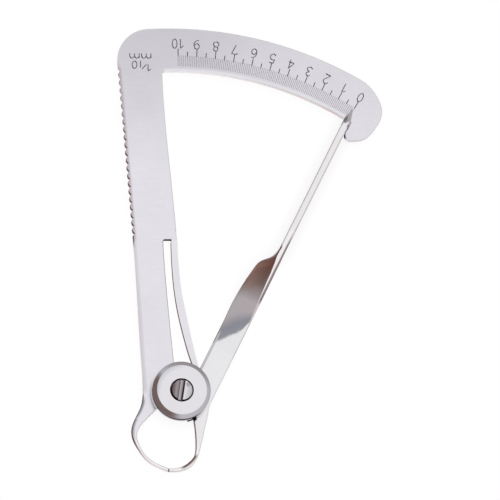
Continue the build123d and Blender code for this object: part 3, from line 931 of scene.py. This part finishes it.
def engraveScale(plate):
    # fine marks all along, bold ones over some of them, and a number at each whole millimetre
    ticks, numbers = newStrokes(), newStrokes()
    for part in range(scale["parts"] + 1):
        share = part / scale["parts"]
        turn = radians(scale["zeroAngle"] + (scale["tenAngle"] - scale["zeroAngle"]) * share)
        inset = scale["zeroInset"] * (1 - share)
        addTick(ticks, turn, scale["innerRadius"] - inset, scale["tenthEnd"] - inset, scale["fine"])
        whole = part % scale["numberEvery"] == 0
        if part % scale["boldEvery"] == 0:
            end = scale["wholeEnd"] if whole else scale["halfEnd"]
            start = scale["tenthEnd"] - scale["overlap"]
            addTick(numbers, turn, start - inset, end - inset, scale["bold"])
        if whole:
            addNumber(numbers, part // scale["numberEvery"], turn, scale["numberRadius"] - inset)
    for glyph, middle, width, height in signs:
        addGlyph(numbers, glyph, middle, pi, width, height)
    cut(plate, strokeCutter(ticks, engravedTicks))
    cut(plate, strokeCutter(numbers, engravedNumbers))


plate = newPiece("scalePlate", weldedCopy("scale_frame"), plateSteel)
engraveScale(plate)
dress(plate, "frame", "scale_frame")
print("plate engraved:", len(plate.data.polygons), "faces")


# The arm with its twist and pointer

arm = newPiece("pointerArm", weldedCopy("pointer_arm"), armSteel)
dress(arm, "arm", "pointer_arm")
print("arm dressed:", len(arm.data.polygons), "faces")


# The spring tongue, grown from the plate at its root

tongue = {
    "root": Vector((-1.1 * mm, 35.4 * mm, 0)), "rootTop": 34.4 * mm,
    "spread": 0.75 / 0.7,      # fills the hollow that the root turns in
    "bendEnd": Vector((-1.08 * mm, 33 * mm, 0)),
    "longEdge": 3 * mm, "cuts": 6, "softAngle": 40,
}


def makeTongue():
    bm = weldedCopy("spring_tongue")
    long = [edge for edge in bm.edges if edge.calc_length() > tongue["longEdge"]]
    bmesh.ops.subdivide_edges(bm, edges=long, cuts=tongue["cuts"])
    middle = (plateLow + plateHigh) / 2
    low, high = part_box("spring_tongue")
    thicken = (plateHigh - plateLow) / (high.z - low.z)
    for vert in bm.verts:
        vert.co.z = middle + (vert.co.z - middle) * thicken
        if vert.co.y > tongue["rootTop"]:
            flat = vert.co - Vector((tongue["root"].x, tongue["root"].y, vert.co.z))
            vert.co += flat * (tongue["spread"] - 1)
    piece = newPiece("springTongue", bm, springSteel)
    evenShading(piece, tongue["softAngle"])
    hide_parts("spring_tongue")
    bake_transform(piece)
    return piece


makeTongue()
print("spring tongue made")


# The collars and the screw, turned about the pivot

turned = {"steps": 160, "soften": 0.07 * mm, "segments": 3, "weld": 0.001 * mm}
screw = {
    "headHeight": 1.5 * mm, "crown": 0.25 * mm, "rim": 0.12 * mm,
    "shank": 1.5 * mm, "clearance": 0.02 * mm,
    "slotWidth": 1.0 * mm, "slotDepth": 0.9 * mm, "crownSteps": 8, "softAngle": 30,
}
bore = screw["shank"] + screw["clearance"]
frontCollar = {
    "bevelWidth": 1.0 * mm, "bevelHeight": 0.65 * mm,
    "holeRadius": 2.68 * mm, "holeDepth": 1.7 * mm, "lip": 0.2 * mm,
}
backCollar = {"bevel": 0.4 * mm, "floor": 0.7 * mm}


def turnProfile(points, softAngle=20):
    # spins an outline of radius and height pairs, closes it and softens its round edges
    bm = bmesh.new()
    verts = [bm.verts.new((radius, 0, height)) for radius, height in points]
    edges = [bm.edges.new(pair) for pair in zip(verts, verts[1:])]
    if points[0][0] > 0:
        edges.append(bm.edges.new((verts[-1], verts[0])))
    bmesh.ops.spin(bm, geom=verts + edges, cent=pivot, axis=(0, 0, 1), angle=2 * pi,
                   steps=turned["steps"], use_merge=True)
    bmesh.ops.remove_doubles(bm, verts=bm.verts, dist=turned["weld"])
    bmesh.ops.recalc_face_normals(bm, faces=bm.faces)
    corners = [e for e in bm.edges if e.is_manifold and e.calc_face_angle(0) > radians(softAngle)]
    bmesh.ops.bevel(bm, geom=corners, offset=turned["soften"], segments=turned["segments"],
                    profile=0.5, affect="EDGES", material=-1, clamp_overlap=True)
    return bm


def makeCollar(name, node, outline):
    dress(newPiece(name, turnProfile(outline), collarSteel), "frame", node)


def makeFrontCollar():
    low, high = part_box("front_boss")
    radius, top, hole = high.x, high.z, frontCollar["holeRadius"]
    floor = top - frontCollar["holeDepth"]
    makeCollar("frontCollar", "front_boss", [
        (bore, low.z), (radius, low.z), (radius, top - frontCollar["bevelHeight"]),
        (radius - frontCollar["bevelWidth"], top), (hole + frontCollar["lip"], top),
        (hole, top - frontCollar["lip"]), (hole, floor), (bore, floor)])


def makeBackCollar():
    low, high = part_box("back_boss")
    radius, bevel = high.x, backCollar["bevel"]
    makeCollar("backCollar", "back_boss", [
        (0, low.z), (radius - bevel, low.z), (radius, low.z + bevel), (radius, high.z),
        (bore, high.z), (bore, backCollar["floor"]), (0, backCollar["floor"])])


def makeScrew():
    low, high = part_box("pivot_screw")
    radius = high.x
    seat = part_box("front_boss")[1].z - frontCollar["holeDepth"]
    rim = seat + screw["headHeight"]
    outline = [(0, low.z), (screw["shank"], low.z), (screw["shank"], seat), (radius, seat)]
    outline += [(radius, rim - screw["rim"]), (radius - screw["rim"], rim)]
    for step in range(1, screw["crownSteps"] + 1):
        share = 1 - step / screw["crownSteps"]
        outline.append(((radius - screw["rim"]) * share, rim + screw["crown"] * (1 - share * share)))
    piece = newPiece("pivotScrew", turnProfile(outline, screw["softAngle"]), screwSteel)
    # the slot is cut through the head, as deep below the rim as the cutter stands above it
    bm = bmesh.new()
    size = Matrix.Diagonal((screw["slotWidth"], 4 * radius, 2 * screw["slotDepth"], 1))
    place = Matrix.Translation((0, 0, rim)) @ Matrix.Rotation(radians(screwFinish["slotTurn"]), 4, "Z")
    bmesh.ops.create_cube(bm, size=1, matrix=place @ size)
    cut(piece, newPiece("slotCutter", bm, screwSteel))
    dress(piece, "frame", "pivot_screw")


makeFrontCollar()
makeBackCollar()
makeScrew()
print("collars and screw turned")


# Studio

studio = {
    "white": (1, 1, 1, 1),
    "horizon": (0.8, 0.79, 0.79, 1),
    "daylight": 0.9, "skyHeight": (0.0, 0.75),
    "floorSize": 3.0, "floorHeight": -0.02 * mm, "floorColour": (0.86, 0.86, 0.87, 1),
    "floorRough": 0.8, "floorFade": (0.25, 1.2),       # where the floor passes into the horizon
    "shadow": (0.84, 0.83, 0.83, 1), "shadowReach": 3 * mm, "shadowSamples": 16,
    "lampPlace": (-0.45, 0.35, 0.7), "lampSize": 0.5, "lampPower": 1.2,
}


def shownDirectly(tree):
    # 1 for what the camera sees, by itself, in a reflection or through glass
    path = addNode(tree, "ShaderNodeLightPath").outputs
    mirrored = calc(tree, "MAXIMUM", path["Is Glossy Ray"], path["Is Transmission Ray"])
    return calc(tree, "MAXIMUM", path["Is Camera Ray"], mirrored)


def makeWorld():
    world = bpy.data.worlds.new("studio")
    bpy.context.scene.world = world
    world.use_nodes = True
    tree = world.node_tree
    background = tree.nodes["Background"]
    place = addNode(tree, "ShaderNodeTexCoord")
    height = dot(tree, place.outputs["Generated"], (0, 0, 1))
    sky = mixColours(tree, fade(tree, height, *studio["skyHeight"]), studio["horizon"], studio["white"])
    feed(tree, background.inputs["Color"], sky)
    light = calc(tree, "MULTIPLY_ADD", shownDirectly(tree), 1 - studio["daylight"], studio["daylight"])
    feed(tree, background.inputs["Strength"], light)


def makeFloor():
    bm = bmesh.new()
    bmesh.ops.create_grid(bm, x_segments=1, y_segments=1, size=studio["floorSize"] / 2,
                          matrix=Matrix.Translation((0, 0, studio["floorHeight"])))
    material, tree, shader = newMaterial("paleFloor")
    shader.inputs["Base Color"].default_value = studio["floorColour"]
    shader.inputs["Roughness"].default_value = studio["floorRough"]
    shader.inputs["Specular IOR Level"].default_value = 0.0
    # shown white, pale grey in the shadow of the gauge and towards the horizon
    shadow = addNode(tree, "ShaderNodeAmbientOcclusion", samples=studio["shadowSamples"])
    shadow.inputs["Distance"].default_value = studio["shadowReach"]
    place = addNode(tree, "ShaderNodeTexCoord")
    far = fade(tree, lengthOf(tree, place.outputs["Object"]), *studio["floorFade"])
    tone = mixColours(tree, far, studio["white"], studio["horizon"])
    tone = mixColours(tree, shadow.outputs["AO"], studio["shadow"], tone)
    glow = addNode(tree, "ShaderNodeEmission")
    feed(tree, glow.inputs["Color"], tone)
    mix = addNode(tree, "ShaderNodeMixShader")
    feed(tree, mix.inputs[0], shownDirectly(tree))
    feed(tree, mix.inputs[1], shader.outputs["BSDF"])
    feed(tree, mix.inputs[2], glow.outputs["Emission"])
    feed(tree, tree.nodes["Material Output"].inputs["Surface"], mix.outputs["Shader"])
    newPiece("floor", bm, material)


def makeLamp():
    lamp = bpy.data.lights.new("softLamp", "AREA")
    lamp.shape = "DISK"
    lamp.size = studio["lampSize"]
    lamp.energy = studio["lampPower"]
    holder = bpy.data.objects.new("softLamp", lamp)
    holder.location = studio["lampPlace"]
    holder.rotation_euler = Vector(studio["lampPlace"]).to_track_quat("Z", "Y").to_euler()
    holder.visible_glossy = False      # the polished faces mirror the room, not the lamp
    bpy.context.scene.collection.objects.link(holder)


makeWorld()
makeFloor()
makeLamp()


# The camera stands at the photograph's angle

view = {
    "towards": Vector((-0.11, -0.21, 1)),      # from the gauge to the camera
    "middle": Vector((16.53, 33.88, 4.3)) * mm,
    "distance": 3.0, "width": 116.0 * mm, "sensor": 36.0, "clipStart": 0.01,
}


def makeCamera():
    camera = bpy.data.cameras.new("camera")
    camera.sensor_width = view["sensor"]
    camera.lens = view["sensor"] * view["distance"] / view["width"]
    camera.clip_start = view["clipStart"]
    holder = bpy.data.objects.new("camera", camera)
    direction = view["towards"].normalized()
    holder.location = view["middle"] + direction * view["distance"]
    holder.rotation_mode = "QUATERNION"
    holder.rotation_quaternion = Vector((0, 0, 1)).rotation_difference(direction)
    bpy.context.scene.collection.objects.link(holder)
    bpy.context.scene.camera = holder


makeCamera()
bpy.context.scene.view_settings.view_transform = "Standard"
print("studio and camera set")
